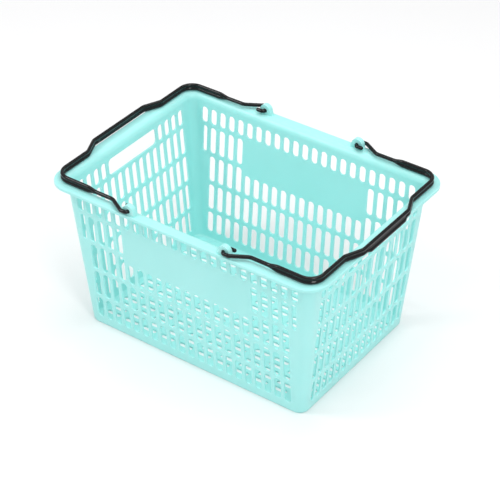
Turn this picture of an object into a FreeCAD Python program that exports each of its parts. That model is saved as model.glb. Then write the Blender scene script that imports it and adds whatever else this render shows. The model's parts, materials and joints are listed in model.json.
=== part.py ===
import FreeCAD, Part
import Sketcher
import math
import os

# Supermarket hand basket: one moulded tub with slotted walls and a flared rim,
# and two swinging handles whose hooked ends turn in lugs on the long rims.
# Millimetres. Origin on the floor under the middle of the tub, X along the
# length, Y across, Z up. "Front" is the long side at -Y, "right" is +X.

V = FreeCAD.Vector
doc = FreeCAD.newDocument("shopping_basket")

# ---------------------------------------------------------------- sizes

DRIVING = [
    # tub
    ("tub_length", 483, "outside the rim, along X"),
    ("tub_width", 355, "outside the rim, along Y"),
    ("rim_height", 260.5, "flat top of the rim above the ground"),
    ("wall_thickness", 2.6, "walls and rim"),
    ("floor_thickness", 3, "floor plate"),
    ("corner_radius", 16, "outside of the upright corners"),
    ("long_wall_lean", 3.9, "degrees, front and back walls"),
    ("short_wall_lean", 4.8, "degrees, left and right walls"),
    # rim
    ("rim_reach", 23, "wall inner face to the outside of the rim"),
    ("flare_radius", 12, "inside curve from wall to rim"),
    ("lip_radius", 1.5, "outer edge of the rim"),
    ("skirt_depth", 5, "depth of the turned-down edge"),
    ("skirt_thickness", 2.4, "turned-down edge"),
    # slots in the walls
    ("slot_width", 11.5, "all wall slots"),
    ("slot_rib", 5.5, "level rib between rows of slots"),
    ("long_pitch", 17.5, "column spacing, front and back"),
    ("short_pitch", 17.35, "column spacing, left and right"),
    ("slot_start", 16, "foot of the lowest row"),
    ("row_a", 37.5, "slot length, lowest row"),
    ("row_b", 46, "slot length, second row"),
    ("row_c", 46.5, "slot length, third row"),
    ("row_d", 46.5, "slot length, fourth row"),
    ("row_e", 27.5, "slot length, top row"),
    ("side_columns", 4, "full columns beside the label panel"),
    ("panel_overhang", 10.5, "label panel below the third row's top"),
    ("edge_web", 3.4, "web between a narrow end slot and the corner"),
    ("edge_least", 3, "least width of a narrow end slot"),
    ("hole_columns", 7, "columns that the hand hole takes up"),
    ("hole_corner", 7, "corner radius of the hand hole"),
    # floor slots
    ("floor_slot_width", 8, "across Y"),
    ("floor_slot_length", 27, "along X"),
    ("floor_pitch_x", 35, "spacing along X"),
    ("floor_pitch_y", 14, "spacing along Y"),
    ("floor_edge", 8.5, "least distance from a slot to the walls"),
    # lugs
    ("lug_radius", 9.5, "rounded top, about the pivot"),
    ("lug_foot", 14.5, "half width of the spread foot, at the wall top's level"),
    ("lug_thickness", 8, "along Y"),
    ("lug_inset", 3, "lug's outer face to the outside of the rim"),
    ("pivot_spacing", 170, "between the two handles' pivots"),
    ("pivot_rise", 6.6, "pivot above the flat of the rim"),
    ("pivot_clearance", 0.6, "hole radius over rod radius"),
    # handles
    ("rod_diameter", 6, "arms and hooked ends"),
    ("rail_diameter", 5.8, "upper and lower rail of the wide part"),
    ("web_thickness", 2.6, "web between the rails"),
    ("rest_gap", 0.5, "lower rail above the flat of the rim"),
    ("rod_offset", 8, "side rods outside the inner face of the wall top"),
    ("end_inset", 11.7, "end rails to the outside of the rim"),
    ("grip_bulge", 12.7, "grip stands out past the end rails"),
    ("grip_half", 60, "half length of the grip's straight part"),
    ("grip_depth", 5.6, "deepest rail of the grip below the pivots"),
    ("grip_gap", 0.4, "deepest rail of the grip to the outside of the rim"),
    ("deep_half", 52, "half length of the grip's deepest rail"),
    ("deep_ramp", 8, "slope at each end of the deepest rail"),
    ("jog_length", 29, "along Y, each end of the grip"),
    ("jog_radius", 14, "bends of the jogs"),
    ("handle_corner", 22, "bend at the corners of the handle"),
    ("arm_gap", 0.5, "arm to the lug's outer face"),
    ("hook_gap", 1, "hook to the lug's inner face"),
    ("hook_radius", 4, "bends of the hooked end"),
    ("hook_run", 13.5, "length of the hook's tip, along X"),
    ("arm_start", 10.8, "arm's first run, along X"),
    ("arm_run", 26.5, "slanting part of the arm, along X"),
    ("arm_radius", 16, "bends of the slanting part"),
    ("rail_start", 67, "pivot to the start of the wide part"),
    ("rail_ramp", 16, "length of the slopes at its start"),
    ("rod_lap", 6, "rod runs on between the rails"),
]

# Worked out from the sizes above; nothing here is chosen by itself.
DERIVED = [
    ("wall_top", "dims.rim_height - dims.flare_radius"),
    ("inner_corner", "dims.corner_radius - dims.wall_thickness"),
    ("long_slope", "tan(dims.long_wall_lean * 1deg)"),
    ("short_slope", "tan(dims.short_wall_lean * 1deg)"),
    ("top_x", "dims.tub_length / 2 - dims.rim_reach"),
    ("top_y", "dims.tub_width / 2 - dims.rim_reach"),
    ("floor_x", "top_x - (wall_top - dims.floor_thickness) * short_slope"),
    ("floor_y", "top_y - (wall_top - dims.floor_thickness) * long_slope"),
    ("floor_room_x", "floor_x - dims.floor_edge - dims.floor_slot_length / 2"),
    ("floor_room_y", "floor_y - dims.floor_edge - dims.floor_slot_width / 2"),
    ("floor_half_x", "floor(floor_room_x / dims.floor_pitch_x)"),
    ("floor_half_y", "floor(floor_room_y / dims.floor_pitch_y)"),
    ("floor_count_x", "2 * floor_half_x + 1"),
    ("floor_count_y", "2 * floor_half_y + 1"),
    ("floor_first_x", "dims.floor_pitch_x * floor_half_x"),
    ("floor_first_y", "dims.floor_pitch_y * floor_half_y"),
    ("under_x", "top_x - wall_top * short_slope"),
    ("under_y", "top_y - wall_top * long_slope"),
    ("above_x", "top_x + dims.flare_radius * short_slope"),
    ("above_y", "top_y + dims.flare_radius * long_slope"),
    ("row_a_low", "dims.slot_start"),
    ("row_a_top", "row_a_low + dims.row_a"),
    ("row_b_low", "row_a_top + dims.slot_rib"),
    ("row_b_top", "row_b_low + dims.row_b"),
    ("row_c_low", "row_b_top + dims.slot_rib"),
    ("row_c_top", "row_c_low + dims.row_c"),
    ("row_d_low", "row_c_top + dims.slot_rib"),
    ("row_d_top", "row_d_low + dims.row_d"),
    ("row_e_low", "row_d_top + dims.slot_rib"),
    ("row_e_top", "row_e_low + dims.row_e"),
    # columns each side of the middle one, as many as the walls have room for with the
    # narrow end slots beside them
    ("reach_long_a", "top_x - inner_corner - (wall_top - row_a_low) * short_slope"),
    ("reach_long_d", "top_x - inner_corner - (wall_top - row_d_low) * short_slope"),
    ("reach_short_a", "top_y - inner_corner - (wall_top - row_a_low) * long_slope"),
    ("reach_short_b", "top_y - inner_corner - (wall_top - row_b_low) * long_slope"),
    ("reach_short_c", "top_y - inner_corner - (wall_top - row_c_low) * long_slope"),
    ("beside_slot", "dims.edge_web + dims.edge_least - dims.slot_width / 2"),
    ("full_room_long", "reach_long_a - dims.slot_width / 2"),
    ("edge_room_long", "reach_long_d - beside_slot - dims.long_pitch"),
    ("edge_room_short", "reach_short_a - beside_slot - dims.short_pitch"),
    ("long_half", "floor(min(full_room_long; edge_room_long) / dims.long_pitch)"),
    ("long_half_top", "floor((top_x - inner_corner - dims.slot_width / 2) / dims.long_pitch)"),
    ("short_half", "floor(edge_room_short / dims.short_pitch)"),
    ("short_half_top", "floor((reach_short_c - dims.slot_width / 2) / dims.short_pitch)"),
    ("long_count", "2 * long_half + 1"),
    ("long_count_top", "2 * long_half_top + 1"),
    ("panel_count", "long_count - 2 * dims.side_columns"),
    ("short_count", "2 * short_half + 1"),
    ("short_count_top", "2 * short_half_top + 1"),
    ("beside_hole", "(short_count_top - dims.hole_columns) / 2"),
    # first column of each run of slots, from the middle
    ("long_first", "dims.long_pitch * long_half"),
    ("long_first_top", "dims.long_pitch * long_half_top"),
    ("long_mirror", "-(long_first - dims.long_pitch * (dims.side_columns - 1))"),
    ("panel_first", "long_first - dims.long_pitch * dims.side_columns"),
    ("panel_low", "row_c_top - dims.panel_overhang"),
    ("short_first", "dims.short_pitch * short_half"),
    ("short_first_top", "dims.short_pitch * short_half_top"),
    ("short_mirror", "-dims.short_pitch * (dims.hole_columns + 1) / 2"),
    ("hole_y", "dims.short_pitch * (dims.hole_columns - 1) / 2 + dims.slot_width / 2"),
    # narrow slots between the last full column and the corner
    ("edge_from_long", "long_first + dims.long_pitch - dims.slot_width / 2"),
    ("edge_from_short", "short_first + dims.short_pitch - dims.slot_width / 2"),
    ("edge_width_long_d", "reach_long_d - dims.edge_web - edge_from_long"),
    ("edge_width_short_a", "reach_short_a - dims.edge_web - edge_from_short"),
    ("edge_width_short_b", "reach_short_b - dims.edge_web - edge_from_short"),
    ("edge_long_d", "edge_from_long + edge_width_long_d / 2"),
    ("edge_short_a", "edge_from_short + edge_width_short_a / 2"),
    ("edge_short_b", "edge_from_short + edge_width_short_b / 2"),
    ("pivot_x", "dims.pivot_spacing / 2"),
    ("pivot_z", "dims.rim_height + dims.pivot_rise"),
    ("lug_outer", "dims.tub_width / 2 - dims.lug_inset"),
    ("lug_inner", "lug_outer - dims.lug_thickness"),
    ("arm_y", "lug_outer + dims.arm_gap + dims.rod_diameter / 2"),
    ("hook_y", "lug_inner - dims.hook_gap - dims.rod_diameter / 2"),
    ("tip_x", "pivot_x + dims.hook_run"),
    ("arm_x", "pivot_x + dims.arm_start"),
    ("side_x", "arm_x + dims.arm_run"),
    ("side_y", "top_y + dims.rod_offset"),
    ("end_x", "dims.tub_length / 2 - dims.end_inset"),
    ("grip_x", "end_x + dims.grip_bulge"),
    ("jog_y", "dims.grip_half + dims.jog_length"),
    ("rail_x", "pivot_x + dims.rail_start"),
    ("rod_end", "rail_x + dims.rod_lap"),
    ("rail_rise", "dims.pivot_rise - dims.rest_gap - dims.rail_diameter / 2"),
    ("upper_z", "pivot_z + rail_rise"),
    ("lower_z", "pivot_z - rail_rise"),
    ("deep_x", "dims.tub_length / 2 + dims.grip_gap + dims.rail_diameter / 2"),
    ("deep_z", "pivot_z - dims.grip_depth"),
]


def make_sheets():
    dims = doc.addObject("Spreadsheet::Sheet", "dims")
    for row, (alias, size, note) in enumerate(DRIVING, start=1):
        dims.set("A%d" % row, alias)
        dims.set("B%d" % row, str(size))
        dims.set("C%d" % row, note)
        dims.setAlias("B%d" % row, alias)
    layout = doc.addObject("Spreadsheet::Sheet", "layout")
    for row, (alias, formula) in enumerate(DERIVED, start=1):
        layout.set("A%d" % row, alias)
        layout.set("B%d" % row, "=" + formula)
        layout.setAlias("B%d" % row, alias)
    doc.recompute()
    return dims, layout


dims, layout = make_sheets()


def size(name):
    """Present value of one driving or derived size."""
    sheet, alias = name.split(".")
    return float(doc.getObject(sheet).get(alias))


# ------------------------------------------------------------- sketch tools

def origin_feature(body, role):
    return next(f for f in body.Origin.OriginFeatures if f.Role == role)


def new_body(label):
    body = doc.addObject("PartDesign::Body", label)
    body.Label = label
    return body


def new_sketch(body, name, role, lift=None):
    """Sketch on one of the body's origin planes, lifted along its normal by an expression."""
    sketch = body.newObject("Sketcher::SketchObject", body.Name + "_" + name)
    sketch.AttachmentSupport = (origin_feature(body, role), [""])
    sketch.MapMode = "FlatFace"
    if lift:
        sketch.setExpression("AttachmentOffset.Base.z", lift)
    return sketch


def pin(sketch, geometry, point, across, up):
    """Hold one point of the sketch at expressions from its origin; None leaves that way free."""
    here = sketch.getPoint(geometry, point)
    for kind, start, expression in (("DistanceX", here.x, across), ("DistanceY", here.y, up)):
        if expression:
            index = sketch.addConstraint(Sketcher.Constraint(kind, -1, 1, geometry, point, start))
            sketch.setExpression("Constraints[%d]" % index, expression)


def hold_radius(sketch, geometry, expression):
    radius = sketch.Geometry[geometry].Radius
    index = sketch.addConstraint(Sketcher.Constraint("Radius", geometry, radius))
    sketch.setExpression("Constraints[%d]" % index, expression)


def join(sketch, lines):
    """Close a loop of edges whose ends already meet."""
    for one, two in zip(lines, lines[1:] + lines[:1]):
        sketch.addConstraint(Sketcher.Constraint("Coincident", one, 2, two, 1))


def add_polygon(sketch, corners):
    """Closed polygon; each corner is ((x, y) near its place, x expression, y expression)."""
    places = [V(place[0], place[1], 0) for place, _, _ in corners]
    lines = []
    for start, end in zip(places, places[1:] + places[:1]):
        lines.append(sketch.addGeometry(Part.LineSegment(start, end), False))
    join(sketch, lines)
    for line, (_, across, up) in zip(lines, corners):
        pin(sketch, line, 1, across, up)


def add_line(sketch, start, end):
    return sketch.addGeometry(Part.LineSegment(V(*start, 0), V(*end, 0)), False)


def add_arc(sketch, centre, radius, begin, finish):
    """Arc drawn anticlockwise between two angles in degrees."""
    circle = Part.Circle(V(centre[0], centre[1], 0), V(0, 0, 1), radius)
    arc = Part.ArcOfCircle(circle, math.radians(begin), math.radians(finish))
    return sketch.addGeometry(arc, False)


def add_slot(sketch, centre, low, top, width):
    """Upright slot with round ends; every argument is an expression of one named size."""
    x = size(centre) if "-" not in centre else -size(centre.strip("-"))
    radius = size(width) / 2
    z_low = size(low) + radius
    z_top = size(top) - radius
    upper = add_arc(sketch, (x, z_top), radius, 0, 180)
    left = add_line(sketch, (x - radius, z_top), (x - radius, z_low))
    lower = add_arc(sketch, (x, z_low), radius, 180, 360)
    right = add_line(sketch, (x + radius, z_low), (x + radius, z_top))
    for one, two in ((upper, left), (left, lower), (lower, right), (right, upper)):
        sketch.addConstraint(Sketcher.Constraint("Tangent", one, 2, two, 1))
    pin(sketch, upper, 3, centre, top + " - " + width + " / 2")
    pin(sketch, lower, 3, centre, low + " + " + width + " / 2")
    hold_radius(sketch, upper, width + " / 2")


# ------------------------------------------------------------ feature tools

def pad(body, sketch, length, both_ways=True):
    feature = body.newObject("PartDesign::Pad", sketch.Name + "_pad")
    feature.Profile = sketch
    feature.SideType = "Symmetric" if both_ways else "One side"
    feature.setExpression("Length", length)
    doc.recompute()
    return feature


def pocket_through(body, sketch):
    """Cut right through the body, both ways from the sketch; the volume must fall."""
    before = body.Shape.Volume
    feature = body.newObject("PartDesign::Pocket", sketch.Name + "_cut")
    feature.Profile = sketch
    feature.SideType = "Symmetric"
    feature.Type = "Length"
    feature.setExpression("Length", "2 * (dims.tub_length + dims.tub_width)")
    doc.recompute()
    if not body.Shape.Volume < before - 1:
        raise RuntimeError(sketch.Name + " cuts nothing")
    return feature


def repeat(body, feature, role, pitch, count):
    """Row of copies along one of the body's axes."""
    pattern = body.newObject("PartDesign::LinearPattern", feature.Name + "_row")
    pattern.Originals = [feature]
    pattern.Direction = (origin_feature(body, role), [""])
    pattern.Mode = "Spacing"
    pattern.setExpression("Offset", pitch)
    pattern.setExpression("Occurrences", count)
    body.Tip = pattern
    doc.recompute()
    return pattern


def mirrored(source, label, normal):
    copy = doc.addObject("Part::Mirroring", label)
    copy.Label = label
    copy.Source = source
    copy.Normal = normal
    return copy


def four_corners(source, stem):
    """The same piece at the other three corners, after the one at the front right."""
    back_right = mirrored(source, "back_right_" + stem, V(0, 1, 0))
    front_left = mirrored(source, "front_left_" + stem, V(1, 0, 0))
    back_left = mirrored(back_right, "back_left_" + stem, V(1, 0, 0))
    return [source, back_right, front_left, back_left]


# --------------------------------------------------------------------- tub

def make_floor():
    """Flat plate under the walls, with rows of slots along X."""
    body = new_body("basket_floor")
    outline = new_sketch(body, "outline", "XY_Plane")
    radius = size("dims.corner_radius")
    half_x = size("layout.floor_x") + size("dims.wall_thickness")
    half_y = size("layout.floor_y") + size("dims.wall_thickness")
    straight_x = half_x - radius
    straight_y = half_y - radius
    edges = []
    corners = ((1, 1, 0), (-1, 1, 90), (-1, -1, 180), (1, -1, 270))
    for (sx, sy, turn), (nx, ny, next_turn) in zip(corners, corners[1:] + corners[:1]):
        edges.append(add_arc(outline, (sx * straight_x, sy * straight_y), radius, turn, turn + 90))
        end = V(sx * straight_x, sy * straight_y, 0) + radius * V(*unit(turn + 90))
        start = V(nx * straight_x, ny * straight_y, 0) + radius * V(*unit(next_turn))
        edges.append(outline.addGeometry(Part.LineSegment(end, start), False))
    for one, two in zip(edges, edges[1:] + edges[:1]):
        outline.addConstraint(Sketcher.Constraint("Tangent", one, 2, two, 1))
    for arc, (sx, sy, _) in zip(edges[::2], corners):
        pin(outline, arc, 3,
            "%d * (layout.floor_x - layout.inner_corner)" % sx,
            "%d * (layout.floor_y - layout.inner_corner)" % sy)
    hold_radius(outline, edges[0], "dims.corner_radius")
    pad(body, outline, "dims.floor_thickness", both_ways=False)

    slot = new_sketch(body, "slot", "XY_Plane")
    radius = size("dims.floor_slot_width") / 2
    reach = size("dims.floor_slot_length") / 2 - radius
    x = size("layout.floor_first_x")
    y = size("layout.floor_first_y")
    near = -x - reach
    far = -x + reach
    right = add_arc(slot, (far, -y), radius, 270, 450)
    upper = add_line(slot, (far, radius - y), (near, radius - y))
    left = add_arc(slot, (near, -y), radius, 90, 270)
    lower = add_line(slot, (near, -radius - y), (far, -radius - y))
    for one, two in ((right, upper), (upper, left), (left, lower), (lower, right)):
        slot.addConstraint(Sketcher.Constraint("Tangent", one, 2, two, 1))
    reach = "(dims.floor_slot_length - dims.floor_slot_width) / 2"
    pin(slot, right, 3, "-layout.floor_first_x + " + reach, "-layout.floor_first_y")
    pin(slot, left, 3, "-layout.floor_first_x - " + reach, "-layout.floor_first_y")
    hold_radius(slot, right, "dims.floor_slot_width / 2")
    cut = pocket_through(body, slot)
    grid = repeat(body, cut, "X_Axis", "dims.floor_pitch_x", "layout.floor_count_x")
    grid.Direction2 = (origin_feature(body, "Y_Axis"), [""])
    grid.Mode2 = "Spacing"
    grid.setExpression("Offset2", "dims.floor_pitch_y")
    grid.setExpression("Occurrences2", "layout.floor_count_y")
    doc.recompute()
    return [body]


def unit(turn):
    return (math.cos(math.radians(turn)), math.sin(math.radians(turn)), 0)


def make_wall_plate(body, section_role, front_role, sign, top, floor, end_top, end_under, end_above):
    """Leaning plate with level top and foot, its ends cut along the corners' lean."""
    thick = size("dims.wall_thickness")
    z_low = size("dims.floor_thickness")
    z_top = size("layout.wall_top")
    section = new_sketch(body, "section", section_role)
    add_polygon(section, [
        ((sign * size(floor), z_low), "%d * %s" % (sign, floor), "dims.floor_thickness"),
        ((sign * (size(floor) + thick), z_low),
         "%d * (%s + dims.wall_thickness)" % (sign, floor), "dims.floor_thickness"),
        ((sign * (size(top) + thick), z_top),
         "%d * (%s + dims.wall_thickness)" % (sign, top), "layout.wall_top"),
        ((sign * size(top), z_top), "%d * %s" % (sign, top), "layout.wall_top"),
    ])
    pad(body, section, "2 * " + end_top)
    ends = new_sketch(body, "ends", front_role)
    corner = size("layout.inner_corner")
    height = size("dims.rim_height")
    for side in (-1, 1):
        under = side * (size(end_under) - corner)
        above = side * (size(end_above) - corner)
        beyond = side * size(end_above)
        add_polygon(ends, [
            ((under, 0), "%d * (%s - layout.inner_corner)" % (side, end_under), "0"),
            ((beyond, 0), "%d * %s" % (side, end_above), "0"),
            ((beyond, height), "%d * %s" % (side, end_above), "dims.rim_height"),
            ((above, height), "%d * (%s - layout.inner_corner)" % (side, end_above), "dims.rim_height"),
        ])
    pocket_through(body, ends)


def slot_row(body, name, role, axis, first, low, top, pitch, count):
    """Level row of wall slots, from the column at -first towards the other end."""
    sketch = new_sketch(body, name, role)
    add_slot(sketch, "-" + first, low, top, "dims.slot_width")
    cut = pocket_through(body, sketch)
    return repeat(body, cut, axis, pitch, count)


def slot_pair(body, name, role, wall, row):
    """Two narrow slots, one beside each corner."""
    sketch = new_sketch(body, name, role)
    place = "layout.edge_%s_%s" % (wall, row)
    width = "layout.edge_width_%s_%s" % (wall, row)
    for centre in (place, "-" + place):
        add_slot(sketch, centre, "layout.row_%s_low" % row, "layout.row_%s_top" % row, width)
    pocket_through(body, sketch)


def make_long_walls():
    body = new_body("front_wall")
    make_wall_plate(body, "YZ_Plane", "XZ_Plane", -1, "layout.top_y", "layout.floor_y",
                    "layout.top_x", "layout.under_x", "layout.above_x")
    def row(name, letter, first, count, top=None):
        slot_row(body, "row_" + name, "XZ_Plane", "X_Axis", first, "layout.row_%s_low" % letter,
                 top or "layout.row_%s_top" % letter, "dims.long_pitch", count)

    for letter in "ab":
        row(letter, letter, "layout.long_first", "layout.long_count")
    for letter in "cd":
        row(letter + "_left", letter, "layout.long_first", "dims.side_columns")
        row(letter + "_right", letter, "layout.long_mirror", "dims.side_columns")
    row("c_panel", "c", "layout.panel_first", "layout.panel_count", top="layout.panel_low")
    slot_pair(body, "row_d_edge", "XZ_Plane", "long", "d")
    row("e", "e", "layout.long_first_top", "layout.long_count_top")
    return [body, mirrored(body, "back_wall", V(0, 1, 0))]


def make_short_walls():
    body = new_body("right_wall")
    make_wall_plate(body, "XZ_Plane", "YZ_Plane", 1, "layout.top_x", "layout.floor_x",
                    "layout.top_y", "layout.under_y", "layout.above_y")
    def row(name, letter, first, count):
        slot_row(body, "row_" + name, "YZ_Plane", "Y_Axis", first, "layout.row_%s_low" % letter,
                 "layout.row_%s_top" % letter, "dims.short_pitch", count)

    for letter in "ab":
        row(letter, letter, "layout.short_first", "layout.short_count")
        slot_pair(body, "row_%s_edge" % letter, "YZ_Plane", "short", letter)
    for letter in "cd":
        row(letter, letter, "layout.short_first_top", "layout.short_count_top")
    row("e_front", "e", "layout.short_first_top", "layout.beside_hole")
    row("e_back", "e", "layout.short_mirror", "layout.beside_hole")
    make_hand_hole(body)
    return [body, mirrored(body, "left_wall", V(1, 0, 0))]


def make_hand_hole(body):
    """Rounded opening under the rim, as high as the top row of slots."""
    sketch = new_sketch(body, "hand_hole", "YZ_Plane")
    radius = size("dims.hole_corner")
    half = size("layout.hole_y") - radius
    low = size("layout.row_e_low") + radius
    top = size("layout.row_e_top") - radius
    centres = ((half, top, 0, "1", "top - "), (-half, top, 90, "-1", "top - "),
               (-half, low, 180, "-1", "low + "), (half, low, 270, "1", "low + "))
    edges = []
    for (y, z, turn, _, _), (ny, nz, next_turn, _, _) in zip(centres, centres[1:] + centres[:1]):
        edges.append(add_arc(sketch, (y, z), radius, turn, turn + 90))
        end = V(y, z, 0) + radius * V(*unit(turn + 90))
        start = V(ny, nz, 0) + radius * V(*unit(next_turn))
        edges.append(sketch.addGeometry(Part.LineSegment(end, start), False))
    for one, two in zip(edges, edges[1:] + edges[:1]):
        sketch.addConstraint(Sketcher.Constraint("Tangent", one, 2, two, 1))
    for arc, (_, _, _, sign, edge) in zip(edges[::2], centres):
        pin(sketch, arc, 3, sign + " * (layout.hole_y - dims.hole_corner)",
            "layout.row_e_" + edge + "dims.hole_corner")
    hold_radius(sketch, edges[0], "dims.hole_corner")
    pocket_through(body, sketch)


def make_corner_posts():
    """Rounded upright corner between two walls, leaning outwards with both."""
    body = new_body("front_right_corner")
    levels = (("foot", "layout.floor_x", "layout.floor_y", "dims.floor_thickness"),
              ("head", "layout.top_x", "layout.top_y", "layout.wall_top"))
    sketches = []
    for name, half_x, half_y, level in levels:
        sketch = new_sketch(body, name, "XY_Plane", lift=level)
        x = size(half_x) - size("layout.inner_corner")
        y = size("layout.inner_corner") - size(half_y)
        outer = size("dims.corner_radius")
        inner = size("layout.inner_corner")
        out = add_arc(sketch, (x, y), outer, 270, 360)
        across = add_line(sketch, (x + outer, y), (x + inner, y))
        back = add_arc(sketch, (x, y), inner, 270, 360)
        along = add_line(sketch, (x, y - inner), (x, y - outer))
        meetings = ((out, 2, across, 1), (across, 2, back, 2), (back, 1, along, 1), (along, 2, out, 1))
        for one, at, two, to in meetings:
            sketch.addConstraint(Sketcher.Constraint("Coincident", one, at, two, to))
        sketch.addConstraint(Sketcher.Constraint("Coincident", out, 3, back, 3))
        sketch.addConstraint(Sketcher.Constraint("Horizontal", across))
        sketch.addConstraint(Sketcher.Constraint("Vertical", along))
        sketch.addConstraint(Sketcher.Constraint("PointOnObject", out, 3, across))
        sketch.addConstraint(Sketcher.Constraint("PointOnObject", out, 3, along))
        pin(sketch, out, 3, half_x + " - layout.inner_corner", "layout.inner_corner - " + half_y)
        hold_radius(sketch, out, "dims.corner_radius")
        hold_radius(sketch, back, "layout.inner_corner")
        sketches.append(sketch)
    loft = body.newObject("PartDesign::AdditiveLoft", "front_right_corner_loft")
    loft.Profile = sketches[0]
    loft.Sections = [sketches[1]]
    loft.Ruled = True
    doc.recompute()
    return four_corners(body, "corner")


def add_rim_section(sketch, base, sign):
    """Section of the flared rim; base is where the inner face of the wall top lies."""
    start = size(base)
    flare = size("dims.flare_radius")
    wall = size("dims.wall_thickness")
    lip = size("dims.lip_radius")
    reach = size("dims.rim_reach")
    top = size("dims.rim_height")
    low = top - flare
    skirt = top - size("dims.skirt_depth")
    edge = reach - size("dims.skirt_thickness")

    def line(u, z, to_u, to_z):
        return add_line(sketch, (sign * (start + u), z), (sign * (start + to_u), to_z))

    def arc(u, z, radius, begin, finish):
        if sign < 0:
            begin, finish = 180 - finish, 180 - begin
        return add_arc(sketch, (sign * (start + u), z), radius, begin, finish)

    # an arc runs anticlockwise, so which of its ends comes first depends on the side
    first, last = (1, 2) if sign > 0 else (2, 1)
    inside = arc(flare, low, flare, 90, 180)
    flat = line(flare, top, reach - lip, top)
    outer_lip = arc(reach - lip, top - lip, lip, 0, 90)
    outside = line(reach, top - lip, reach, skirt)
    foot = line(reach, skirt, edge, skirt)
    back = line(edge, skirt, edge, top - wall)
    under = line(edge, top - wall, flare, top - wall)
    curve = arc(flare, low, flare - wall, 90, 180)
    seat = line(wall, low, 0, low)
    joints = ((inside, first, flat, 1), (flat, 2, outer_lip, last), (outer_lip, first, outside, 1),
              (outside, 2, foot, 1), (foot, 2, back, 1), (back, 2, under, 1), (under, 2, curve, first),
              (curve, last, seat, 1), (seat, 2, inside, last))
    for one, at_one, two, at_two in joints:
        sketch.addConstraint(Sketcher.Constraint("Coincident", one, at_one, two, at_two))
    out = "%d * (%s + " % (sign, base)
    pins = ((inside, 3, "dims.flare_radius)", "layout.wall_top"),
            (outer_lip, 3, "dims.rim_reach - dims.lip_radius)", "dims.rim_height - dims.lip_radius"),
            (outside, 2, "dims.rim_reach)", "dims.rim_height - dims.skirt_depth"),
            (foot, 2, "dims.rim_reach - dims.skirt_thickness)", "dims.rim_height - dims.skirt_depth"),
            (back, 2, "dims.rim_reach - dims.skirt_thickness)", "dims.rim_height - dims.wall_thickness"),
            (curve, first, "dims.flare_radius)", "dims.rim_height - dims.wall_thickness"),
            (curve, last, "dims.wall_thickness)", "layout.wall_top"))
    for geometry, point, across, up in pins:
        pin(sketch, geometry, point, out + across, up)
    # each arc's radius gives the other half of these two ends' places
    pin(sketch, inside, first, out + "dims.flare_radius)", None)
    pin(sketch, inside, last, None, "layout.wall_top")
    pin(sketch, outer_lip, last, out + "dims.rim_reach - dims.lip_radius)", None)
    pin(sketch, outer_lip, first, None, "dims.rim_height - dims.lip_radius")
    hold_radius(sketch, inside, "dims.flare_radius")
    hold_radius(sketch, outer_lip, "dims.lip_radius")
    hold_radius(sketch, curve, "dims.flare_radius - dims.wall_thickness")


def make_rim():
    front = new_body("front_rim")
    section = new_sketch(front, "section", "YZ_Plane")
    add_rim_section(section, "layout.top_y", -1)
    pad(front, section, "2 * (layout.top_x - layout.inner_corner)")
    right = new_body("right_rim")
    section = new_sketch(right, "section", "XZ_Plane")
    add_rim_section(section, "layout.top_x", 1)
    pad(right, section, "2 * (layout.top_y - layout.inner_corner)")
    corner = new_body("front_right_rim_corner")
    section = new_sketch(corner, "section", "XZ_Plane")
    add_rim_section(section, "layout.inner_corner", 1)
    turn = corner.newObject("PartDesign::Revolution", "front_right_rim_corner_turn")
    turn.Profile = section
    turn.ReferenceAxis = (section, ["V_Axis"])
    turn.Angle = 90
    turn.Reversed = True
    corner.setExpression("Placement.Base.x", "layout.top_x - layout.inner_corner")
    corner.setExpression("Placement.Base.y", "layout.inner_corner - layout.top_y")
    doc.recompute()
    if corner.Shape.BoundBox.YMin > corner.Placement.Base.y - 1:
        raise RuntimeError("the rim corner turns the wrong way")
    return [front, mirrored(front, "back_rim", V(0, 1, 0)),
            right, mirrored(right, "left_rim", V(1, 0, 0))] + four_corners(corner, "rim_corner")


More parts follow.
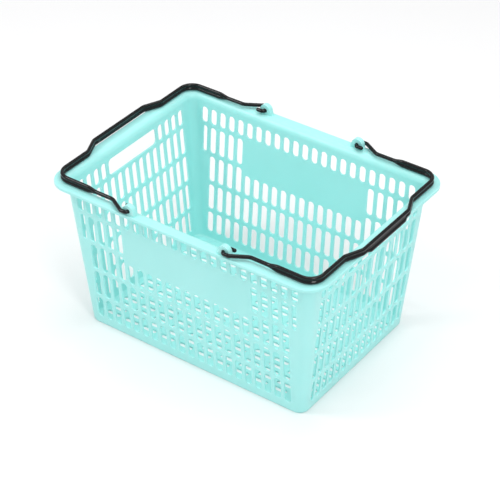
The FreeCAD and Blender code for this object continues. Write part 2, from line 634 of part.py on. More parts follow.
def make_lugs():
    """Upright lugs on the long rims, each with a hole along Y for a handle's end."""
    body = new_body("lug_blank")
    outline = new_sketch(body, "outline", "XZ_Plane")
    x = size("layout.pivot_x")
    z = size("layout.pivot_z")
    radius = size("dims.lug_radius")
    foot = size("layout.wall_top")
    spread = size("dims.lug_foot")
    turn = math.degrees(math.acos(radius / math.hypot(spread, z - foot)) - math.atan2(z - foot, spread))
    crown = add_arc(outline, (x, z), radius, turn, 180 - turn)
    side = radius * math.cos(math.radians(turn))
    rise = radius * math.sin(math.radians(turn))
    left = add_line(outline, (x - side, z + rise), (x - spread, foot))
    base = add_line(outline, (x - spread, foot), (x + spread, foot))
    right = add_line(outline, (x + spread, foot), (x + side, z + rise))
    outline.addConstraint(Sketcher.Constraint("Tangent", crown, 2, left, 1))
    outline.addConstraint(Sketcher.Constraint("Coincident", left, 2, base, 1))
    outline.addConstraint(Sketcher.Constraint("Coincident", base, 2, right, 1))
    outline.addConstraint(Sketcher.Constraint("Tangent", right, 2, crown, 1))
    pin(outline, crown, 3, "layout.pivot_x", "layout.pivot_z")
    hold_radius(outline, crown, "dims.lug_radius")
    pin(outline, base, 1, "layout.pivot_x - dims.lug_foot", "layout.wall_top")
    pin(outline, base, 2, "layout.pivot_x + dims.lug_foot", "layout.wall_top")
    hole = outline.addGeometry(Part.Circle(V(x, z, 0), V(0, 0, 1), size("dims.rod_diameter") / 2), False)
    outline.addConstraint(Sketcher.Constraint("Coincident", hole, 3, crown, 3))
    hold_radius(outline, hole, "dims.rod_diameter / 2 + dims.pivot_clearance")
    outline.setExpression("AttachmentOffset.Base.z", "layout.lug_inner")
    pad(body, outline, "dims.lug_thickness", both_ways=False)
    if body.Shape.BoundBox.YMin > 1 - size("layout.lug_outer"):
        raise RuntimeError("the lug stands on the wrong side")

    flank = new_sketch(body, "under", "YZ_Plane")
    tub = size("dims.tub_width") / 2
    curve = size("layout.top_y") + size("dims.flare_radius")
    low = size("layout.wall_top")
    top = size("dims.rim_height")
    arc = add_arc(flank, (-curve, low), size("dims.flare_radius"), 0, 90)
    inner = -size("layout.top_y")
    below = low - 1
    level = add_line(flank, (-curve, top), (-tub, top))
    side = add_line(flank, (-tub, top), (-tub, below))
    base = add_line(flank, (-tub, below), (inner, below))
    rise = add_line(flank, (inner, below), (inner, low))
    join(flank, [arc, level, side, base, rise])
    pin(flank, arc, 3, "-layout.top_y - dims.flare_radius", "layout.wall_top")
    pin(flank, arc, 2, "-layout.top_y - dims.flare_radius", None)
    pin(flank, arc, 1, None, "layout.wall_top")
    hold_radius(flank, arc, "dims.flare_radius")
    pin(flank, side, 1, "-dims.tub_width / 2", "dims.rim_height")
    pin(flank, side, 2, "-dims.tub_width / 2", "layout.wall_top - 1")
    pin(flank, base, 2, "-layout.top_y", "layout.wall_top - 1")
    pocket_through(body, flank)
    body.Label = "front_right_lug"
    return four_corners(body, "lug")


# ----------------------------------------------------------------- handles

def add_path(sketch, stops):
    """Open run of straight lines joined by tangent arcs. Each stop is (x, y, bend radius)
    with x and y expressions of one named size, a leading minus turning the sign."""
    def place(text):
        return -size(text[1:]) if text.startswith("-") else (0.0 if text == "0" else size(text))

    points = [V(place(x), place(y), 0) for x, y, _ in stops]
    ends = [points[0]]
    arcs = []
    for i in range(1, len(points) - 1):
        back = (points[i - 1] - points[i]).normalize()
        ahead = (points[i + 1] - points[i]).normalize()
        opening = back.getAngle(ahead)
        radius = size(stops[i][2])
        run = radius / math.tan(opening / 2)
        first = points[i] + back * run
        second = points[i] + ahead * run
        centre = points[i] + (back + ahead).normalize() * (radius / math.sin(opening / 2))
        middle = centre + (points[i] - centre).normalize() * radius
        ends += [first, second]
        arcs.append((first, middle, second))
    ends.append(points[-1])
    lines = [sketch.addGeometry(Part.LineSegment(ends[i], ends[i + 1]), False)
             for i in range(0, len(ends), 2)]
    for i, (first, middle, second) in enumerate(arcs):
        bend = sketch.addGeometry(Part.Arc(first, middle, second), False)
        swapped = (sketch.getPoint(bend, 1) - first).Length > 0.001
        start, finish = (2, 1) if swapped else (1, 2)
        sketch.addConstraint(Sketcher.Constraint("Tangent", lines[i], 2, bend, start))
        sketch.addConstraint(Sketcher.Constraint("Tangent", bend, finish, lines[i + 1], 1))
        hold_radius(sketch, bend, stops[i + 1][2])
        mark = sketch.addGeometry(Part.Point(points[i + 1]), True)
        sketch.addConstraint(Sketcher.Constraint("PointOnObject", mark, 1, lines[i]))
        sketch.addConstraint(Sketcher.Constraint("PointOnObject", mark, 1, lines[i + 1]))
        pin(sketch, mark, 1, stops[i + 1][0], stops[i + 1][1])
    pin(sketch, lines[0], 1, stops[0][0], stops[0][1])
    pin(sketch, lines[-1], 2, stops[-1][0], stops[-1][1])


def sweep(body, profile, path):
    pipe = body.newObject("PartDesign::AdditivePipe", profile.Name + "_sweep")
    pipe.Profile = profile
    pipe.Spine = (path, ["Edge%d" % (i + 1) for i in range(len(path.Shape.Edges))])
    doc.recompute()
    return pipe


def add_disc(sketch, across, up, diameter):
    """Circle about a point given by two named sizes, the first with a minus if need be."""
    x = -size(across[1:]) if across.startswith("-") else size(across)
    disc = sketch.addGeometry(Part.Circle(V(x, size(up), 0), V(0, 0, 1), size(diameter) / 2), False)
    pin(sketch, disc, 3, across, up)
    hold_radius(sketch, disc, diameter + " / 2")


def add_web(sketch, top, foot):
    """Strip between two rails, each given by the names of its place across and up."""
    half = size("dims.web_thickness") / 2
    corners = []
    for (across, up), sides in ((top, (-1, 1)), (foot, (1, -1))):
        for side in sides:
            corners.append(((size(across) + side * half, size(up)),
                            across + " + %d * dims.web_thickness / 2" % side, up))
    add_polygon(sketch, corners)


def make_handles():
    """Bent rod that widens into two rails round the grip. Half is swept, then mirrored."""
    body = new_body("right_handle")
    rail_path = new_sketch(body, "rail_path", "XY_Plane", lift="layout.pivot_z")
    add_path(rail_path, [
        ("layout.grip_x", "0", None),
        ("layout.grip_x", "-dims.grip_half", "dims.jog_radius"),
        ("layout.end_x", "-layout.jog_y", "dims.jog_radius"),
        ("layout.end_x", "-layout.side_y", "dims.handle_corner"),
        ("layout.rail_x", "-layout.side_y", None)])
    rod_path = new_sketch(body, "rod_path", "XY_Plane", lift="layout.pivot_z")
    add_path(rod_path, [
        ("layout.rod_end", "-layout.side_y", None),
        ("layout.side_x", "-layout.side_y", "dims.arm_radius"),
        ("layout.arm_x", "-layout.arm_y", "dims.hook_radius"),
        ("layout.pivot_x", "-layout.arm_y", "dims.hook_radius"),
        ("layout.pivot_x", "-layout.hook_y", "dims.hook_radius"),
        ("layout.tip_x", "-layout.hook_y", None)])
    upper = new_sketch(body, "upper_rail", "XZ_Plane")
    add_disc(upper, "layout.grip_x", "layout.upper_z", "dims.rail_diameter")
    lower = new_sketch(body, "lower_rail", "XZ_Plane")
    add_disc(lower, "layout.grip_x", "layout.lower_z", "dims.rail_diameter")
    web = new_sketch(body, "web", "XZ_Plane")
    add_web(web, ("layout.grip_x", "layout.upper_z"), ("layout.grip_x", "layout.lower_z"))
    rod = new_sketch(body, "rod", "YZ_Plane", lift="layout.rod_end")
    add_disc(rod, "-layout.side_y", "layout.pivot_z", "dims.rod_diameter")
    doc.recompute()
    halves = [sweep(body, upper, rail_path), sweep(body, web, rail_path),
              sweep(body, lower, rail_path), sweep(body, rod, rod_path)]
    whole = body.newObject("PartDesign::Mirrored", "right_handle_whole")
    whole.Originals = halves
    whole.MirrorPlane = (origin_feature(body, "XZ_Plane"), [""])
    body.Tip = whole
    doc.recompute()
    deepen_grip(body)
    slope_rails(body)
    return [body, mirrored(body, "left_handle", V(1, 0, 0))]


def deepen_grip(body):
    """Third rail under the grip's straight part, hanging just outside the rim."""
    web = new_sketch(body, "deep_web", "XZ_Plane")
    add_web(web, ("layout.grip_x", "layout.lower_z"), ("layout.deep_x", "layout.deep_z"))
    pad(body, web, "2 * dims.deep_half")
    rail = new_sketch(body, "deep_rail", "XZ_Plane")
    add_disc(rail, "layout.deep_x", "layout.deep_z", "dims.rail_diameter")
    pad(body, rail, "2 * dims.deep_half")
    ends = new_sketch(body, "deep_ends", "YZ_Plane")
    top = size("layout.lower_z") - size("dims.rail_diameter") / 2
    low = size("layout.deep_z") - size("dims.rail_diameter") / 2
    half = size("dims.deep_half")
    ramp = size("dims.deep_ramp")
    upper = "layout.lower_z - dims.rail_diameter / 2"
    lower = "layout.deep_z - dims.rail_diameter / 2 - 1"
    for side in (-1, 1):
        add_polygon(ends, [
            ((side * (half + 1), top), "%d * (dims.deep_half + 1)" % side, upper),
            ((side * half, top), "%d * dims.deep_half" % side, upper),
            ((side * (half - ramp), low - 1), "%d * (dims.deep_half - dims.deep_ramp)" % side, lower),
            ((side * (half + 1), low - 1), "%d * (dims.deep_half + 1)" % side, lower),
        ])
    pocket_through(body, ends)


def slope_rails(body):
    """Slopes above and below the rod where the wide part begins, like a lens."""
    ramps = new_sketch(body, "ramps", "XZ_Plane")
    start = size("layout.rail_x")
    end = start + size("dims.rail_ramp")
    for side in (-1, 1):
        rod = size("layout.pivot_z") + side * size("dims.rod_diameter") / 2
        clear = size("layout.pivot_z") + side * (size("layout.rail_rise") + size("dims.rail_diameter") / 2)
        rod_edge = "layout.pivot_z + %d * dims.rod_diameter / 2" % side
        rail_edge = "layout.pivot_z + %d * (layout.rail_rise + dims.rail_diameter / 2)" % side
        add_polygon(ramps, [
            ((start - 1, rod), "layout.rail_x - 1", rod_edge),
            ((end, clear), "layout.rail_x + dims.rail_ramp", rail_edge),
            ((end, clear + side), "layout.rail_x + dims.rail_ramp", rail_edge + " + %d" % side),
            ((start - 1, clear + side), "layout.rail_x - 1", rail_edge + " + %d" % side),
        ])
    pocket_through(body, ramps)


# -------------------------------------------------------------------- build

def check(nodes):
    """Stop before anything is written if a feature failed or a solid is not sound."""
    doc.recompute()
    for item in doc.Objects:
        if "Invalid" in item.State or "Error" in item.State:
            raise RuntimeError(item.Label + " failed: " + str(item.State))
    for node in nodes:
        if node.Shape.isNull() or not node.Shape.isValid() or len(node.Shape.Solids) != 1:
            raise RuntimeError(node.Label + " is not one sound solid")


def main():
    nodes = make_floor()
    nodes += make_long_walls()
    nodes += make_short_walls()
    nodes += make_corner_posts()
    nodes += make_rim()
    nodes += make_lugs()
    nodes += make_handles()
    check(nodes)
    os.makedirs("parts", exist_ok=True)
    for node in nodes:
        node.Shape.exportStep("parts/%s.step" % node.Label)
        box = node.Shape.BoundBox
        print("%-24s %9.1f mm3  x %7.1f %7.1f  y %7.1f %7.1f  z %6.1f %6.1f"
              % (node.Label, node.Shape.Volume, box.XMin, box.XMax, box.YMin, box.YMax, box.ZMin, box.ZMax))


main()
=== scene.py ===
"""Supermarket hand basket: the moulded tub and its two swinging handles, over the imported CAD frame."""

import json
import math

import bmesh
import bpy
from mathutils import Matrix, Vector


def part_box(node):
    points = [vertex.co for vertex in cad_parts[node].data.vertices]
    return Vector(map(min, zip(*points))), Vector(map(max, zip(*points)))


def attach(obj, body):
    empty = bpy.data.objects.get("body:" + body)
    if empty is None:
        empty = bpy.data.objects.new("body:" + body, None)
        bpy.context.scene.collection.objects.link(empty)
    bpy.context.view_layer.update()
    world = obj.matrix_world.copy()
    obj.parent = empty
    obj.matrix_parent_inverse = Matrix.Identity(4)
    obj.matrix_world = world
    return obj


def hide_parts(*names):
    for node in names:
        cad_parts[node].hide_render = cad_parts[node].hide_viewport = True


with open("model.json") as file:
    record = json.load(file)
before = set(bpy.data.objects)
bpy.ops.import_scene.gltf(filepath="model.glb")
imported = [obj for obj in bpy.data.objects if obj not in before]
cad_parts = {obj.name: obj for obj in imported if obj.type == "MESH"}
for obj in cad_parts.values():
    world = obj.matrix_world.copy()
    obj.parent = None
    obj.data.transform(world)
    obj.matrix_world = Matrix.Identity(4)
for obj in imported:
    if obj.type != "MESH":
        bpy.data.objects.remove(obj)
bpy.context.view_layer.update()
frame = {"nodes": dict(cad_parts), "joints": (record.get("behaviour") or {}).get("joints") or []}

MM = 0.001


def low(node):
    return Vector(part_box(node)[0]) / MM


def high(node):
    return Vector(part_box(node)[1]) / MM


# ------------------------------------------------------------ sizes, in mm

TUB_NODES = [name for name in frame["nodes"] if "handle" not in name]

# the tub, read from the frame
RIM_TOP = high("front_rim").z
WALL_TOP = low("front_rim").z
FLOOR_TOP = high("basket_floor").z
TOP_X = low("right_rim").x
TOP_Y = -high("front_rim").y
FOOT_X = low("right_wall").x
FOOT_Y = -high("front_wall").y
WALL = high("right_wall").x - TOP_X
REACH = high("right_rim").x - TOP_X
INNER_CORNER = TOP_X - high("front_rim").x
FLARE = RIM_TOP - WALL_TOP
LEAN_X = (TOP_X - FOOT_X) / (WALL_TOP - FLOOR_TOP)
LEAN_Y = (TOP_Y - FOOT_Y) / (WALL_TOP - FLOOR_TOP)
LIP = 1.5
SKIRT_DEPTH = 5.0
SKIRT = 2.4
FOOT_ROUND = 3.0
FLOOR_FILLET = 3.0

# slots in the walls
SLOT = 11.5
LONG_PITCH, LONG_COLUMNS = 17.5, 23
SHORT_PITCH, SHORT_COLUMNS = 17.35, 15
RIB = 5.5
ROW_LENGTHS = (37.5, 46.0, 46.5, 46.5, 27.5)
ROW_START = 16.0
SIDE_COLUMNS = 4
PANEL_OVERHANG = 10.5
EDGE_WEB = 3.4
HOLE_COLUMNS = 7
HOLE_CORNER = 7.0

# slots in the floor
FLOOR_SLOT = (27.0, 8.0)
FLOOR_PITCH = (35.0, 14.0)
FLOOR_COUNT = (11, 17)

# lugs and handles
PIVOT = [j for j in frame["joints"] if j["child"] == "right_handle"][0]["pos_m"]
PIVOT_X = PIVOT[0] / MM
PIVOT_Z = PIVOT[2] / MM
LUG_RADIUS = high("front_right_lug").z - PIVOT_Z
LUG_FOOT = high("front_right_lug").x - PIVOT_X
LUG_OUTER = -low("front_right_lug").y
LUG_INNER = -high("front_right_lug").y
ROD = 3.0
PIVOT_CLEARANCE = 0.6
HOLE = ROD + PIVOT_CLEARANCE
RAIL = 2.9
RAIL_RISE = high("right_handle").z - PIVOT_Z - RAIL
END_INSET = 11.7
GRIP_BULGE = 12.7
END_X = TOP_X + REACH - END_INSET
GRIP_X = END_X + GRIP_BULGE
DEEP_OUT = high("right_handle").x - RAIL - GRIP_X
DEEP_DROP = PIVOT_Z - RAIL - low("right_handle").z
WIDE_START = PIVOT_X + 67
WIDE_RAMP = 18.0
DEEP_START, DEEP_END = 54.0, 43.0

# the line of the handles, from the hook's tip to the grip
HOOK_TIP, HOOK_GAP, HOOK_BEND = 10.5, 1.0, 4
ARM_GAP, ARM_START, ARM_END, ARM_BEND = 0.5, 10.8, 37.3, 16
ROD_OFFSET = 8.0
CORNER_BEND, JOG_BEND = 22, 14
JOG_Y, GRIP_HALF = 89, 60
LINE_STEP = 0.9

# the web between the rails, with its diagonal ribs
WEB_HALF = 1.3
RIB_DEPTH, RIB_PITCH, RIB_SLANT = 0.3, 3.4, 2.2
RING_POINTS = 56


# ------------------------------------------------------------- mesh helpers

def new_object(name, bm, material):
    mesh = bpy.data.meshes.new(name)
    bmesh.ops.recalc_face_normals(bm, faces=bm.faces)
    bm.to_mesh(mesh)
    bm.free()
    if material:
        mesh.materials.append(material)
    obj = bpy.data.objects.new(name, mesh)
    bpy.context.scene.collection.objects.link(obj)
    return obj


def rounded_box(centre, half, radius, steps):
    """Anticlockwise outline of a rectangle with round corners, as (across, up) points."""
    points = []
    for turn, (sx, sy) in enumerate(((1, 1), (-1, 1), (-1, -1), (1, -1))):
        middle = (centre[0] + sx * (half[0] - radius), centre[1] + sy * (half[1] - radius))
        for i in range(steps + 1):
            angle = math.radians(90 * turn + 90 * i / steps)
            points.append((middle[0] + radius * math.cos(angle), middle[1] + radius * math.sin(angle)))
    clean = []
    for p in points:
        if not clean or math.dist(p, clean[-1]) > 0.01:
            clean.append(p)
    if math.dist(clean[0], clean[-1]) < 0.01:
        clean.pop()
    return clean


def add_prism(bm, outline, place, start, end):
    """Straight prism through the outline; place(across, up, depth) gives the point in mm."""
    rings = []
    for depth in (start, end):
        rings.append([bm.verts.new(Vector(place(a, u, depth)) * MM) for a, u in outline])
    bm.faces.new(rings[0])
    bm.faces.new(rings[1])
    for i in range(len(outline)):
        j = (i + 1) % len(outline)
        bm.faces.new((rings[0][i], rings[0][j], rings[1][j], rings[1][i]))


def boolean(obj, tool, operation):
    cut = obj.modifiers.new(operation.lower(), "BOOLEAN")
    cut.operation = operation
    cut.solver = "MANIFOLD"
    cut.object = tool
    bake(obj)
    bpy.data.objects.remove(tool)


def bake(obj):
    """Apply the object's modifiers to its mesh."""
    depsgraph = bpy.context.evaluated_depsgraph_get()
    mesh = bpy.data.meshes.new_from_object(obj.evaluated_get(depsgraph))
    old = obj.data
    obj.modifiers.clear()
    obj.data = mesh
    bpy.data.meshes.remove(old)


# --------------------------------------------------------------------- tub

def tub_section(slope):
    """Points (outward from the inner face, height) up the inside, over the rim and down the outside."""
    lean = math.atan(slope)
    points = []
    for i in range(7):
        angle = math.radians(270 + 90 * i / 6)
        points.append((-FLOOR_FILLET + FLOOR_FILLET * math.cos(angle),
                       FLOOR_TOP + FLOOR_FILLET + FLOOR_FILLET * math.sin(angle)))
    centre = FLARE / math.cos(lean)
    begin = math.pi - lean
    for i in range(11):
        angle = begin + (math.pi / 2 - begin) * i / 10
        points.append((centre + FLARE * math.cos(angle), WALL_TOP + FLARE * math.sin(angle)))
    for i in range(7):
        angle = math.radians(90 - 90 * i / 6)
        points.append((REACH - LIP + LIP * math.cos(angle), RIM_TOP - LIP + LIP * math.sin(angle)))
    points.append((REACH, RIM_TOP - SKIRT_DEPTH))
    points.append((REACH - SKIRT, RIM_TOP - SKIRT_DEPTH))
    for i in range(5):
        angle = math.radians(90 * i / 4)
        points.append((REACH - SKIRT - 1 + math.cos(angle), RIM_TOP - WALL - 1 + math.sin(angle)))
    inner = FLARE - WALL
    for i in range(9):
        angle = math.pi / 2 + (begin - math.pi / 2) * i / 8
        points.append((centre + inner * math.cos(angle), WALL_TOP + inner * math.sin(angle)))
    for i in range(7):
        angle = math.radians(-90 * i / 6)
        points.append((WALL - FOOT_ROUND + FOOT_ROUND * math.cos(angle),
                       FOOT_ROUND + FOOT_ROUND * math.sin(angle)))
    return points


def tub_shell(material):
    """The tub without its slots: one closed skin swept round the four corners."""
    steps = 14
    bm = bmesh.new()
    stations = []
    for turn, (sx, sy) in enumerate(((1, 1), (-1, 1), (-1, -1), (1, -1))):
        for i in range(steps + 1):
            angle = math.radians(90 * turn + 90 * i / steps)
            out = Vector((math.cos(angle), math.sin(angle)))
            slope = LEAN_X * abs(out.x) + LEAN_Y * abs(out.y)
            ring = []
            for u, z in tub_section(slope):
                level = min(max(z, FLOOR_TOP), WALL_TOP) - FLOOR_TOP
                centre = Vector((sx * (FOOT_X + LEAN_X * level - INNER_CORNER),
                                 sy * (FOOT_Y + LEAN_Y * level - INNER_CORNER)))
                flat = centre + out * (INNER_CORNER + u)
                ring.append(bm.verts.new(Vector((flat.x, flat.y, z)) * MM))
            stations.append(ring)
    for one, two in zip(stations, stations[1:] + stations[:1]):
        for i in range(len(one) - 1):
            bm.faces.new((one[i], one[i + 1], two[i + 1], two[i]))
    bm.faces.new([ring[0] for ring in stations])
    bm.faces.new([ring[-1] for ring in stations])
    return new_object("basket_tub", bm, material)


def lug_blanks():
    """Round-topped plates standing on the long rims, with a spreading foot."""
    bm = bmesh.new()
    foot = RIM_TOP - WALL / 2
    drop = PIVOT_Z - RIM_TOP
    begin = math.acos(LUG_RADIUS / math.hypot(LUG_FOOT, drop)) - math.atan2(drop, LUG_FOOT)
    lean = math.tan(begin) * WALL / 2
    for sx in (-1, 1):
        for sy in (-1, 1):
            outline = []
            for i in range(33):
                angle = begin + (math.pi - 2 * begin) * i / 32
                outline.append((LUG_RADIUS * math.cos(angle), PIVOT_Z + LUG_RADIUS * math.sin(angle)))
            outline += [(-LUG_FOOT - lean, foot), (LUG_FOOT + lean, foot)]
            add_prism(bm, outline, lambda a, u, d: (sx * PIVOT_X + a, sy * d, u), LUG_INNER, LUG_OUTER)
    return new_object("lug_blanks", bm, None)


def row_levels():
    levels = []
    foot = ROW_START
    for length in ROW_LENGTHS:
        levels.append((foot, foot + length))
        foot += length + RIB
    return levels


def columns(count, pitch):
    return [pitch * (i - (count - 1) / 2) for i in range(count)]


def slot_shape(centre, foot, top, width=SLOT):
    return rounded_box((centre, (foot + top) / 2), (width / 2, (top - foot) / 2), width / 2, 7)


def narrow_slots(half_width, slope, row, pitch, count):
    """Two narrow slots between the last of a row's full columns and the corners."""
    reach = half_width - INNER_CORNER - (WALL_TOP - row[0]) * slope
    start = pitch * (count + 1) / 2 - SLOT / 2
    width = reach - EDGE_WEB - start
    centre = start + width / 2
    return [slot_shape(-centre, *row, width), slot_shape(centre, *row, width)]


def long_wall_slots():
    """Outlines of the slots in a long wall, round its blank label panel."""
    row_a, row_b, row_c, row_d, row_e = row_levels()
    across = columns(LONG_COLUMNS, LONG_PITCH)
    inner = across[1:-1]
    sides = inner[:SIDE_COLUMNS] + inner[-SIDE_COLUMNS:]
    middle = inner[SIDE_COLUMNS:-SIDE_COLUMNS]
    shapes = [slot_shape(x, *row_a) for x in inner]
    shapes += [slot_shape(x, *row_b) for x in inner]
    shapes += [slot_shape(x, *row_c) for x in sides]
    shapes += [slot_shape(x, row_c[0], row_c[1] - PANEL_OVERHANG) for x in middle]
    shapes += [slot_shape(x, *row_d) for x in sides]
    shapes += narrow_slots(TOP_X, LEAN_X, row_d, LONG_PITCH, len(inner))
    shapes += [slot_shape(x, *row_e) for x in across]
    return shapes


def short_wall_slots():
    """Outlines of the slots in a short wall, with the hand hole in the top row."""
    row_a, row_b, row_c, row_d, row_e = row_levels()
    across = columns(SHORT_COLUMNS, SHORT_PITCH)
    shapes = []
    inner = across[1:-1]
    for row in (row_a, row_b):
        shapes += [slot_shape(y, *row) for y in inner]
        shapes += narrow_slots(TOP_Y, LEAN_Y, row, SHORT_PITCH, len(inner))
    for row in (row_c, row_d):
        shapes += [slot_shape(y, *row) for y in across]
    beside = (SHORT_COLUMNS - HOLE_COLUMNS) // 2
    shapes += [slot_shape(y, *row_e) for y in across[:beside] + across[-beside:]]
    half = SHORT_PITCH * (HOLE_COLUMNS - 1) / 2 + SLOT / 2
    shapes.append(rounded_box((0, sum(row_e) / 2), (half, (row_e[1] - row_e[0]) / 2), HOLE_CORNER, 6))
    return shapes


def tub_cutters():
    """Everything that is cut out of the tub: slots in walls and floor, and the pivot holes."""
    bm = bmesh.new()
    for side in (-1, 1):
        for shape in long_wall_slots():
            add_prism(bm, shape, lambda a, u, d: (a, side * d, u), FOOT_Y - 6, TOP_Y + 8)
        for shape in short_wall_slots():
            add_prism(bm, shape, lambda a, u, d: (side * d, a, u), FOOT_X - 5, TOP_X + 8)
        for lug in (-1, 1):
            hole = rounded_box((lug * PIVOT_X, PIVOT_Z), (HOLE, HOLE), HOLE, 6)
            add_prism(bm, hole, lambda a, u, d: (a, side * d, u), LUG_INNER - 5, LUG_OUTER + 5)
    half = (FLOOR_SLOT[0] / 2, FLOOR_SLOT[1] / 2)
    for x in columns(FLOOR_COUNT[0], FLOOR_PITCH[0]):
        for y in columns(FLOOR_COUNT[1], FLOOR_PITCH[1]):
            shape = rounded_box((x, y), half, half[1], 6)
            add_prism(bm, shape, lambda a, u, d: (a, u, d), -5, FLOOR_TOP + 5)
    return new_object("tub_cutters", bm, None)


def soften(obj, width, angle):
    """Small rounding on every sharp edge, with the flat faces kept flat."""
    bevel = obj.modifiers.new("bevel", "BEVEL")
    bevel.width = width * MM
    bevel.segments = 2
    bevel.limit_method = "ANGLE"
    bevel.angle_limit = math.radians(angle)
    bevel.miter_outer = "MITER_ARC"
    bevel.harden_normals = False
    weigh = obj.modifiers.new("normals", "WEIGHTED_NORMAL")
    weigh.keep_sharp = False
    weigh.weight = 70
    bake(obj)


def make_tub(material):
    tub = tub_shell(material)
    boolean(tub, lug_blanks(), "UNION")
    boolean(tub, tub_cutters(), "DIFFERENCE")
    for polygon in tub.data.polygons:
        polygon.use_smooth = True
    soften(tub, 0.45, 40)
    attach(tub, "tub")
    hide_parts(*TUB_NODES)
    return tub


# ----------------------------------------------------------------- handles

def handle_stops():
    """Corner points (x, y, bend radius) of half the right handle's line, from hook to grip."""
    side_y = TOP_Y + ROD_OFFSET
    arm_y = LUG_OUTER + ARM_GAP + ROD
    hook_y = LUG_INNER - HOOK_GAP - ROD
    return [(PIVOT_X + HOOK_TIP, -hook_y, 0),
            (PIVOT_X, -hook_y, HOOK_BEND),
            (PIVOT_X, -arm_y, HOOK_BEND),
            (PIVOT_X + ARM_START, -arm_y, HOOK_BEND),
            (PIVOT_X + ARM_END, -side_y, ARM_BEND),
            (END_X, -side_y, CORNER_BEND),
            (END_X, -JOG_Y, JOG_BEND),
            (GRIP_X, -GRIP_HALF, JOG_BEND),
            (GRIP_X, 0, 0)]


def rounded_line(stops, spacing):
    """Evenly spaced points along straight runs joined by tangent arcs."""
    pieces = []
    here = Vector(stops[0][:2])
    for before, stop, after in zip(stops, stops[1:], stops[2:]):
        corner = Vector(stop[:2])
        back = (Vector(before[:2]) - corner).normalized()
        ahead = (Vector(after[:2]) - corner).normalized()
        half = back.angle(ahead) / 2
        run = stop[2] / math.tan(half)
        start, end = corner + back * run, corner + ahead * run
        centre = corner + (back + ahead).normalized() * (stop[2] / math.sin(half))
        pieces.append(("line", here, start))
        pieces.append(("arc", start, end, centre, stop[2]))
        here = end
    pieces.append(("line", here, Vector(stops[-1][:2])))
    points = []
    for piece in pieces:
        start, end = piece[1], piece[2]
        if piece[0] == "line":
            count = max(1, round((end - start).length / spacing))
            points += [start.lerp(end, i / count) for i in range(count)]
        else:
            centre, radius = piece[3], piece[4]
            one, two = start - centre, end - centre
            turn = math.atan2(one.x * two.y - one.y * two.x, one.dot(two))
            count = max(6, round(abs(turn) * radius / spacing))
            points += [centre + Matrix.Rotation(turn * i / count, 2) @ one for i in range(count)]
    points.append(Vector(stops[-1][:2]))
    return points


def ease(value):
    """Smooth step from 0 to 1."""
    part = min(max(value, 0.0), 1.0)
    return part * part * (3 - 2 * part)


def section_point(angle, upper, lower, radius, web):
    """Outermost point of the section on a ray from its middle: two round rails and their web."""
    middle = (upper + lower) / 2
    axis = (lower - upper).normalized() if (lower - upper).length > 0.01 else Vector((0, -1))
    across = Vector((-axis.y, axis.x))
    ray = axis * -math.sin(angle) + across * math.cos(angle)
    best = 0.0
    for centre in (upper, lower):
        to = centre - middle
        along = to.dot(ray)
        gap = radius * radius - to.length_squared + along * along
        if gap > 0:
            best = max(best, along + math.sqrt(gap))
    if abs(math.cos(angle)) > 0.05:
        side = web / abs(math.cos(angle))
        if abs(side * math.sin(angle)) <= (lower - upper).length / 2 and side > best:
            best = side
    return middle + ray * best


def make_handle(name, mirror, material):
    """A rod with hooked ends, that widens into two rails and a ribbed web round the grip."""
    half = rounded_line(handle_stops(), LINE_STEP)
    line = half + [Vector((p.x, -p.y)) for p in reversed(half[:-1])]
    bm = bmesh.new()
    rings = []
    length = 0.0
    for i, p in enumerate(line):
        ahead = line[min(i + 1, len(line) - 1)]
        back = line[max(i - 1, 0)]
        along = (ahead - back).normalized()
        out = Vector((along.y, -along.x))
        length += (p - back).length
        wide = ease((p.x - WIDE_START) / WIDE_RAMP)
        deep = ease((DEEP_START - abs(p.y)) / (DEEP_START - DEEP_END)) if p.x > END_X else 0.0
        upper = Vector((0, RAIL_RISE * wide))
        lower = Vector((DEEP_OUT * deep, -RAIL_RISE * wide - (DEEP_DROP - RAIL_RISE) * deep))
        radius = ROD + (RAIL - ROD) * wide
        ring = []
        for k in range(RING_POINTS):
            angle = 2 * math.pi * k / RING_POINTS
            rib = 0.0
            if wide > 0.99:
                phase = (length + RIB_SLANT * math.sin(angle)) / RIB_PITCH
                rib = RIB_DEPTH * max(0.0, math.cos(2 * math.pi * phase))
            l, z = section_point(angle, upper, lower, radius, WEB_HALF + rib)
            place = Vector((mirror * (p.x + out.x * l), p.y + out.y * l, PIVOT_Z + z))
            ring.append(bm.verts.new(place * MM))
        rings.append(ring)
    for one, two in zip(rings, rings[1:]):
        for k in range(RING_POINTS):
            m = (k + 1) % RING_POINTS
            bm.faces.new((one[k], one[m], two[m], two[k]))
    for ring, towards in ((rings[0], line[0] - line[1]), (rings[-1], line[-1] - line[-2])):
        add_cap(bm, ring, Vector((mirror * towards.x, towards.y, 0)).normalized())
    obj = new_object(name, bm, material)
    obj.data.shade_smooth()
    obj.data.set_sharp_from_angle(angle=math.radians(50))
    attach(obj, name.replace("_bar", ""))
    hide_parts(name.replace("_bar", ""))
    return obj


def add_cap(bm, ring, towards):
    """Round end over a ring."""
    centre = sum((v.co for v in ring), Vector()) / len(ring)
    last = ring
    steps = 6
    for i in range(1, steps):
        angle = math.pi / 2 * i / steps
        grown = [bm.verts.new(centre + (v.co - centre) * math.cos(angle)
                              + towards * (ROD * MM * math.sin(angle))) for v in ring]
        for k in range(len(ring)):
            m = (k + 1) % len(ring)
            bm.faces.new((last[k], last[m], grown[m], grown[k]))
        last = grown
    tip = bm.verts.new(centre + towards * ROD * MM)
    for k in range(len(ring)):
        bm.faces.new((last[k], last[(k + 1) % len(ring)], tip))


# --------------------------------------------------------------- materials

def new_material(name):
    material = bpy.data.materials.new(name)
    material.use_nodes = True
    nodes = material.node_tree.nodes
    shader = next(n for n in nodes if n.type == "BSDF_PRINCIPLED")
    return material, nodes, material.node_tree.links, shader


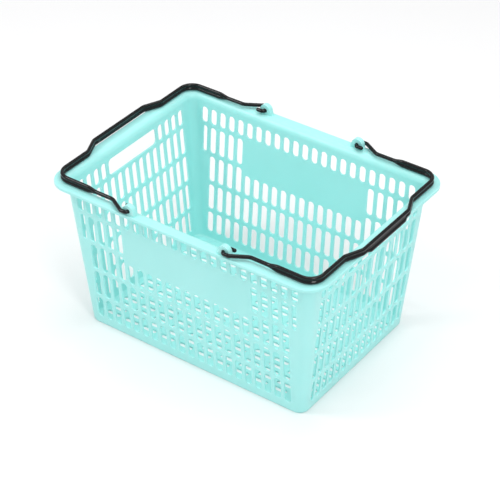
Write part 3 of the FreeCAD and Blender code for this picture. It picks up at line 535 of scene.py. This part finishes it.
def noise_node(nodes, links, scale, detail=4.0, rough=0.5):
    coords = nodes.new("ShaderNodeTexCoord")
    noise = nodes.new("ShaderNodeTexNoise")
    noise.inputs["Scale"].default_value = scale
    noise.inputs["Detail"].default_value = detail
    noise.inputs["Roughness"].default_value = rough
    links.new(coords.outputs["Object"], noise.inputs["Vector"])
    return noise.outputs["Fac"]


def spread(nodes, links, source, low_value, high_value, start=0.3, end=0.7):
    """Map a noise to a range."""
    span = nodes.new("ShaderNodeMapRange")
    span.inputs["From Min"].default_value = start
    span.inputs["From Max"].default_value = end
    span.inputs["To Min"].default_value = low_value
    span.inputs["To Max"].default_value = high_value
    links.new(source, span.inputs["Value"])
    return span.outputs["Result"]


def colour_ramp(nodes, links, source, stops):
    ramp = nodes.new("ShaderNodeValToRGB")
    while len(ramp.color_ramp.elements) < len(stops):
        ramp.color_ramp.elements.new(0.5)
    for element, (place, colour) in zip(ramp.color_ramp.elements, stops):
        element.position = place
        element.color = (*colour, 1)
    links.new(source, ramp.inputs["Fac"])
    return ramp.outputs["Color"]


def bump_node(nodes, links, shader, source, distance, strength):
    bump = nodes.new("ShaderNodeBump")
    bump.inputs["Distance"].default_value = distance
    bump.inputs["Strength"].default_value = strength
    links.new(source, bump.inputs["Height"])
    links.new(bump.outputs["Normal"], shader.inputs["Normal"])


def tub_material():
    """Satin aqua polypropylene, a little translucent, with faint flow marks and handling wear."""
    material, nodes, links, shader = new_material("aqua_polypropylene")
    cloud = noise_node(nodes, links, 9, 5, 0.55)
    colour = colour_ramp(nodes, links, cloud, ((0.25, (0.375, 0.800, 0.775)), (0.75, (0.410, 0.830, 0.810))))
    links.new(colour, shader.inputs["Base Color"])
    scuff = noise_node(nodes, links, 60, 8, 0.65)
    links.new(spread(nodes, links, scuff, 0.27, 0.38), shader.inputs["Roughness"])
    grain = noise_node(nodes, links, 1400, 2, 0.5)
    bump_node(nodes, links, shader, grain, 0.00004, 0.35)
    shader.inputs["IOR"].default_value = 1.49
    shader.inputs["Subsurface Weight"].default_value = 0.25
    shader.inputs["Subsurface Radius"].default_value = (0.6, 1.0, 0.95)
    shader.inputs["Subsurface Scale"].default_value = 0.004
    return material


def handle_material():
    """Glossy black plastic with faint hand wear."""
    material, nodes, links, shader = new_material("black_gloss_plastic")
    cloud = noise_node(nodes, links, 35, 6, 0.6)
    colour = colour_ramp(nodes, links, cloud, ((0.3, (0.003, 0.0035, 0.004)), (0.8, (0.006, 0.007, 0.0075))))
    links.new(colour, shader.inputs["Base Color"])
    wear = noise_node(nodes, links, 110, 8, 0.7)
    links.new(spread(nodes, links, wear, 0.10, 0.17), shader.inputs["Roughness"])
    shader.inputs["Specular IOR Level"].default_value = 0.32
    grain = noise_node(nodes, links, 900, 3, 0.5)
    bump_node(nodes, links, shader, grain, 0.00005, 0.25)
    shader.inputs["IOR"].default_value = 1.5
    return material


def floor_material():
    """Plain pale studio floor."""
    material, nodes, links, shader = new_material("pale_floor")
    cloud = noise_node(nodes, links, 1.5, 3, 0.5)
    colour = colour_ramp(nodes, links, cloud, ((0.3, (0.90, 0.90, 0.905)), (0.7, (0.915, 0.915, 0.918))))
    links.new(colour, shader.inputs["Base Color"])
    shader.inputs["Roughness"].default_value = 0.6
    shader.inputs["Specular IOR Level"].default_value = 0.2
    return material


# ------------------------------------------------------- stage and camera

def make_floor(material):
    bm = bmesh.new()
    bmesh.ops.create_grid(bm, x_segments=1, y_segments=1, size=8.0)
    floor = new_object("studio_floor", bm, material)


def add_area(name, place, target, width, height, power, colour=(1, 1, 1)):
    data = bpy.data.lights.new(name, "AREA")
    data.shape = "RECTANGLE"
    data.size = width
    data.size_y = height
    data.energy = power
    data.color = colour
    light = bpy.data.objects.new(name, data)
    light.location = place
    light.rotation_euler = (Vector(target) - Vector(place)).to_track_quat("-Z", "Y").to_euler()
    bpy.context.scene.collection.objects.link(light)


def make_lights():
    world = bpy.data.worlds.new("studio")
    world.use_nodes = True
    background = world.node_tree.nodes["Background"]
    background.inputs["Color"].default_value = (1, 1, 1, 1)
    background.inputs["Strength"].default_value = 0.56
    bpy.context.scene.world = world
    add_area("overhead", (0.3, 0.2, 2.6), (0, 0, 0.1), 2.6, 2.2, 36)
    add_area("key", (-1.6, -1.4, 2.2), (0, 0, 0.15), 0.8, 0.8, 20)
    add_area("fill", (2.0, -1.2, 2.1), (0, 0, 0.15), 0.8, 0.8, 22)


def make_camera():
    azimuth, elevation, roll = math.radians(35.557), math.radians(35.816), math.radians(0.095)
    target = Vector((0.465, 7.444, 128.477)) * MM
    back = Vector((math.sin(azimuth) * math.cos(elevation), -math.cos(azimuth) * math.cos(elevation),
                   math.sin(elevation)))
    data = bpy.data.cameras.new("photo_camera")
    data.sensor_width = 36
    data.lens = 130.51
    data.clip_end = 60
    camera = bpy.data.objects.new("photo_camera", data)
    camera.location = target + back * 2.758779
    facing = (-back).to_track_quat("-Z", "Y").to_matrix()
    camera.rotation_euler = (facing @ Matrix.Rotation(roll, 3, "Z")).to_euler()
    bpy.context.scene.collection.objects.link(camera)
    bpy.context.scene.camera = camera


def main():
    scene = bpy.context.scene
    scene.view_settings.view_transform = "Standard"
    make_camera()
    make_lights()
    make_floor(floor_material())
    make_tub(tub_material())
    black = handle_material()
    make_handle("right_handle_bar", 1, black)
    make_handle("left_handle_bar", -1, black)


main()
